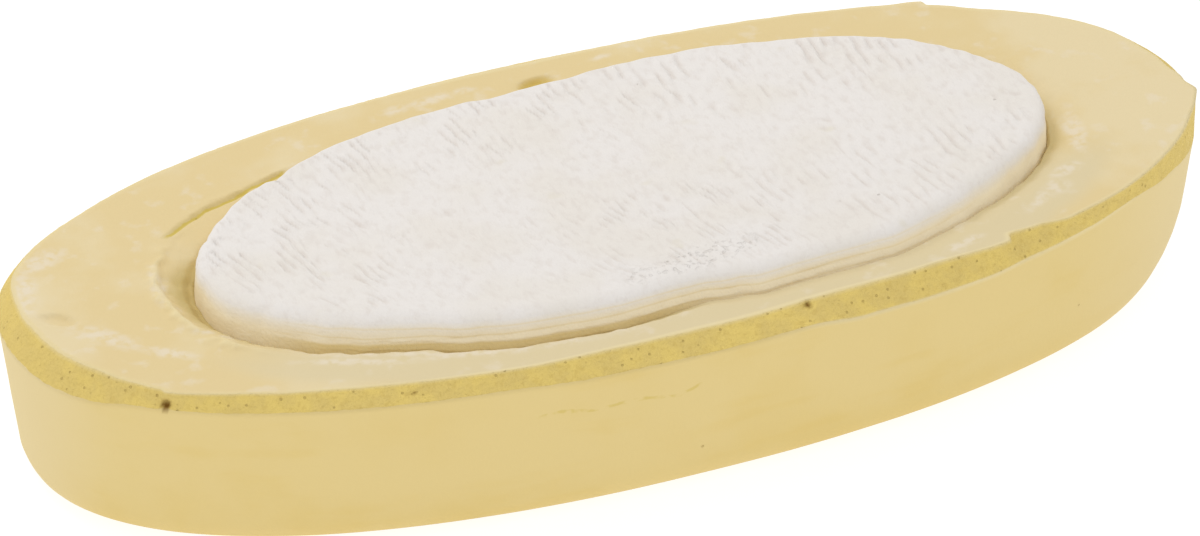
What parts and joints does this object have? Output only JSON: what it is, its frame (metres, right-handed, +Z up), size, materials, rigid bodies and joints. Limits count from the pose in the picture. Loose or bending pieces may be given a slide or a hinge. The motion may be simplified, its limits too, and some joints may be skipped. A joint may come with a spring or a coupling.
{
  "type": "cuttlebone in mineral block",
  "caption": "White ridged cuttlebone set in the top of an oval pale-yellow cast mineral block with a flat back, for cage birds to peck.",
  "frame": {"origin": "centre of the block's flat back, level with the surface it lies on", "axes": "+X along the block's length, +Y across its width, +Z up out of the bone's pecking face"},
  "size_m": [0.152, 0.067, 0.0248],
  "materials": {
    "mineral_block": "matte, chalky, slightly pitted",
    "cuttlebone": "matte, chalky, ridged"
  },
  "bodies": {
    "root": {"mineral_block": "mineral_block", "cuttlebone": "cuttlebone"}
  },
  "joints": []
}
